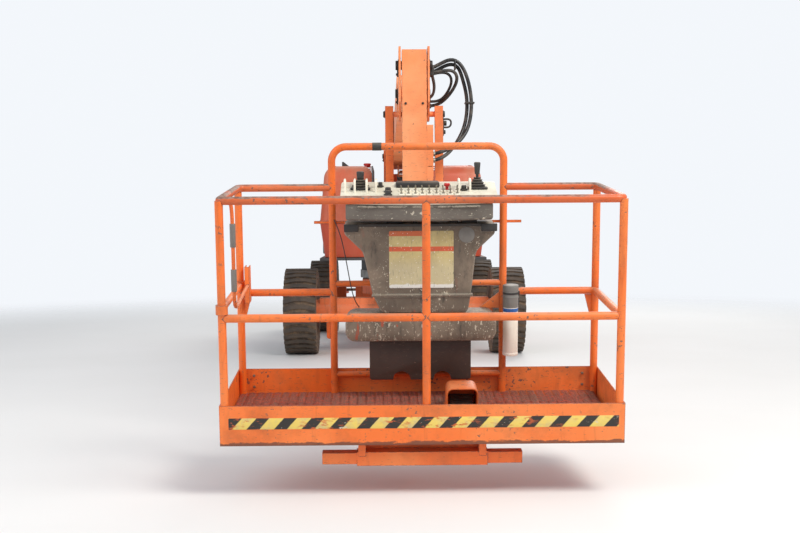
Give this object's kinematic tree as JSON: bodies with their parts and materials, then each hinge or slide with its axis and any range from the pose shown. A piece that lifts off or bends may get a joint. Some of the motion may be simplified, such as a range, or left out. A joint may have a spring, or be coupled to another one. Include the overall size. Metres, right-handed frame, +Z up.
{
  "type": "articulating boom lift",
  "caption": "Self-propelled work platform lift with a folding tower, a telescoping boom, a hanging jib and a railed platform with a control console, on treaded rubber tyres.",
  "frame": {"origin": "bottom centre of the bounding box in the stored pose, on the ground under the tyres", "axes": "+X to the right as seen from the platform's end, +Y from the platform towards the counterweight, +Z up"},
  "size_m": [2.3, 8.8129, 2.258],
  "materials": {
    "orange_paint": "semi-gloss",
    "hood_orange": "satin",
    "grey_paint": "satin",
    "cast_grey": "matt",
    "frame_grey": "satin",
    "steel": "brushed",
    "chrome": "polished",
    "tyre": "matt",
    "rim": "satin",
    "console_grey": "matt",
    "panel_cream": "matt",
    "floor_brown": "matt",
    "black_plastic": "matt",
    "grey_plastic": "matt",
    "white_plastic": "satin"
  },
  "bodies": {
    "chassis": {"chassis_frame": "frame_grey", "drive_axle": "frame_grey", "steer_axle": "frame_grey", "slewing_bearing": "steel"},
    "wheel_drive_left": {"tyre_drive_left": "tyre", "rim_drive_left": "rim"},
    "wheel_drive_right": {"tyre_drive_right": "tyre", "rim_drive_right": "rim"},
    "knuckle_left": {"knuckle_left": "frame_grey"},
    "knuckle_right": {"knuckle_right": "frame_grey"},
    "tie_rod": {"tie_rod": "steel"},
    "wheel_steer_left": {"tyre_steer_left": "tyre", "rim_steer_left": "rim"},
    "wheel_steer_right": {"tyre_steer_right": "tyre", "rim_steer_right": "rim"},
    "turntable": {"turntable_deck": "frame_grey", "boom_mount": "frame_grey", "bay_wall_left": "grey_paint", "bay_wall_right": "grey_paint", "engine_block": "cast_grey", "fuel_tank": "black_plastic", "hydraulic_tank": "grey_paint", "ground_controls": "grey_plastic", "counterweight": "cast_grey"},
    "hood_left": {"hood_left": "hood_orange"},
    "hood_right": {"hood_right": "hood_orange"},
    "tower_boom": {"tower_boom": "orange_paint"},
    "tower_link": {"tower_link": "orange_paint"},
    "tower_cylinder": {"tower_cylinder": "grey_paint"},
    "tower_rod": {"tower_rod": "chrome"},
    "upright": {"upright": "orange_paint"},
    "boom_base": {"boom_base": "orange_paint"},
    "main_cylinder": {"main_cylinder": "grey_paint"},
    "main_rod": {"main_rod": "chrome"},
    "boom_fly": {"boom_fly": "orange_paint"},
    "nose_yoke": {"nose_yoke": "orange_paint", "hose_upper": "black_plastic"},
    "jib_boom": {"jib_boom": "orange_paint", "hose_drop": "black_plastic"},
    "level_links": {"level_link_left": "orange_paint", "level_link_right": "orange_paint"},
    "jib_cylinder": {"jib_cylinder": "grey_paint"},
    "jib_rod": {"jib_rod": "chrome"},
    "jib_bracket": {"jib_bracket": "orange_paint"},
    "platform": {"platform_support": "orange_paint", "platform_floor": "floor_brown", "toe_boards": "orange_paint", "console_guard": "orange_paint", "rail_top": "orange_paint", "rail_posts": "orange_paint", "rail_mid": "orange_paint", "console_body": "console_grey", "console_tray": "black_plastic", "console_panel": "panel_cream", "joysticks": "black_plastic", "foot_switch": "black_plastic", "document_tube": "white_plastic"},
    "entry_bar": {"entry_bar": "orange_paint"}
  },
  "joints": [
    {"name": "spin_drive_left", "type": "hinge", "parent": "chassis", "child": "wheel_drive_left", "pos_m": [-0.9965, 1.6527, 0.416], "axis": [1, 0, 0], "continuous": true},
    {"name": "spin_drive_right", "type": "hinge", "parent": "chassis", "child": "wheel_drive_right", "pos_m": [0.9965, 1.6527, 0.416], "axis": [1, 0, 0], "continuous": true},
    {"name": "steer_left", "type": "hinge", "parent": "chassis", "child": "knuckle_left", "pos_m": [-0.69, 3.9927, 0.416], "axis": [0, 0, 1], "range_deg": [-35, 35]},
    {"name": "steer_right", "type": "hinge", "parent": "chassis", "child": "knuckle_right", "pos_m": [0.69, 3.9927, 0.416], "axis": [0, 0, 1], "range_deg": [-36, 36]},
    {"name": "tie_rod_slide", "type": "slide", "parent": "chassis", "child": "tie_rod", "axis": [1, 0, 0], "range_m": [-0.1, 0.1]},
    {"name": "spin_steer_left", "type": "hinge", "parent": "knuckle_left", "child": "wheel_steer_left", "pos_m": [-0.9015, 3.9927, 0.416], "axis": [1, 0, 0], "continuous": true},
    {"name": "spin_steer_right", "type": "hinge", "parent": "knuckle_right", "child": "wheel_steer_right", "pos_m": [0.9015, 3.9927, 0.416], "axis": [1, 0, 0], "continuous": true},
    {"name": "turntable_swing", "type": "hinge", "parent": "chassis", "child": "turntable", "pos_m": [0, 2.8227, 0.8], "axis": [0, 0, 1], "range_deg": [-178.5, 178.5]},
    {"name": "hood_left_hinge", "type": "hinge", "parent": "turntable", "child": "hood_left", "pos_m": [-0.306, 2.8227, 1.85], "axis": [0, 1, 0], "range_deg": [0, 65]},
    {"name": "hood_right_hinge", "type": "hinge", "parent": "turntable", "child": "hood_right", "pos_m": [0.306, 2.8227, 1.85], "axis": [0, -1, 0], "range_deg": [0, 65]},
    {"name": "tower_lift", "type": "hinge", "parent": "turntable", "child": "tower_boom", "pos_m": [0, 2.2027, 1.22], "axis": [1, 0, 0], "range_deg": [0, 66]},
    {"name": "tower_link_turn", "type": "hinge", "parent": "turntable", "child": "tower_link", "pos_m": [0, 2.0927, 1.456], "axis": [1, 0, 0], "range_deg": [-1, 67]},
    {"name": "upright_level", "type": "hinge", "parent": "tower_boom", "child": "upright", "pos_m": [0, 3.8027, 1.29], "axis": [1, 0, 0], "range_deg": [-67, 1]},
    {"name": "tower_cylinder_turn", "type": "hinge", "parent": "turntable", "child": "tower_cylinder", "pos_m": [0, 2.5027, 0.98], "axis": [1, 0, 0], "range_deg": [-1, 75]},
    {"name": "tower_rod_slide", "type": "slide", "parent": "tower_cylinder", "child": "tower_rod", "axis": [0, 0.996, 0.0898], "range_m": [-0.01, 0.41]},
    {"name": "main_lift", "type": "hinge", "parent": "upright", "child": "boom_base", "pos_m": [0, 3.7427, 2.04], "axis": [-1, 0, 0], "range_deg": [0, 75]},
    {"name": "main_cylinder_turn", "type": "hinge", "parent": "upright", "child": "main_cylinder", "pos_m": [0, 3.5227, 1.66], "axis": [-1, 0, 0], "range_deg": [-1, 70]},
    {"name": "main_rod_slide", "type": "slide", "parent": "main_cylinder", "child": "main_rod", "axis": [0, -0.9795, 0.2017], "range_m": [-0.01, 0.55]},
    {"name": "telescope", "type": "slide", "parent": "boom_base", "child": "boom_fly", "axis": [0, -1, 0], "range_m": [-2.3, 0.1]},
    {"name": "yoke_level", "type": "hinge", "parent": "boom_fly", "child": "nose_yoke", "pos_m": [0, -2.7173, 2.04], "axis": [-1, 0, 0], "range_deg": [-76, 1]},
    {"name": "jib_lift", "type": "hinge", "parent": "nose_yoke", "child": "jib_boom", "pos_m": [0, -3.0773, 2.158], "axis": [-1, 0, 0], "range_deg": [0, 140]},
    {"name": "level_links_turn", "type": "hinge", "parent": "nose_yoke", "child": "level_links", "pos_m": [0, -2.9903, 1.892], "axis": [-1, 0, 0], "range_deg": [-1, 141]},
    {"name": "jib_cylinder_turn", "type": "hinge", "parent": "nose_yoke", "child": "jib_cylinder", "pos_m": [0, -2.9903, 1.892], "axis": [-1, 0, 0], "range_deg": [-1, 143]},
    {"name": "jib_rod_slide", "type": "slide", "parent": "jib_cylinder", "child": "jib_rod", "axis": [0, 0.019, -0.9998], "range_m": [-0.01, 0.54]},
    {"name": "bracket_level", "type": "hinge", "parent": "jib_boom", "child": "jib_bracket", "pos_m": [0, -3.0773, 0.908], "axis": [-1, 0, 0], "range_deg": [-141, 1]},
    {"name": "platform_swing", "type": "hinge", "parent": "jib_bracket", "child": "platform", "pos_m": [0, -3.2873, 0.39], "axis": [0, -0.1132, 0.9936], "range_deg": [-90, 90]},
    {"name": "entry_bar_lift", "type": "slide", "parent": "platform", "child": "entry_bar", "axis": [0, -0.1132, 0.9936], "range_m": [0, 0.45]}
  ],
  "couplings": [
    {"joint": "steer_right", "follows": "steer_left", "ratio": 1},
    {"joint": "tie_rod_slide", "follows": "steer_left", "m_per_rad": -0.15},
    {"joint": "tower_link_turn", "follows": "tower_lift", "ratio": 1},
    {"joint": "upright_level", "follows": "tower_lift", "ratio": -1},
    {"joint": "tower_cylinder_turn", "follows": "tower_lift", "ratio": 1.11},
    {"joint": "tower_rod_slide", "follows": "tower_lift", "m_per_rad": 0.34},
    {"joint": "main_cylinder_turn", "follows": "main_lift", "ratio": 0.92},
    {"joint": "main_rod_slide", "follows": "main_lift", "m_per_rad": 0.41},
    {"joint": "yoke_level", "follows": "main_lift", "ratio": -1},
    {"joint": "level_links_turn", "follows": "jib_lift", "ratio": 1},
    {"joint": "bracket_level", "follows": "jib_lift", "ratio": -1},
    {"joint": "jib_cylinder_turn", "follows": "jib_lift", "ratio": 1.009},
    {"joint": "jib_rod_slide", "follows": "jib_lift", "m_per_rad": 0.215}
  ]
}
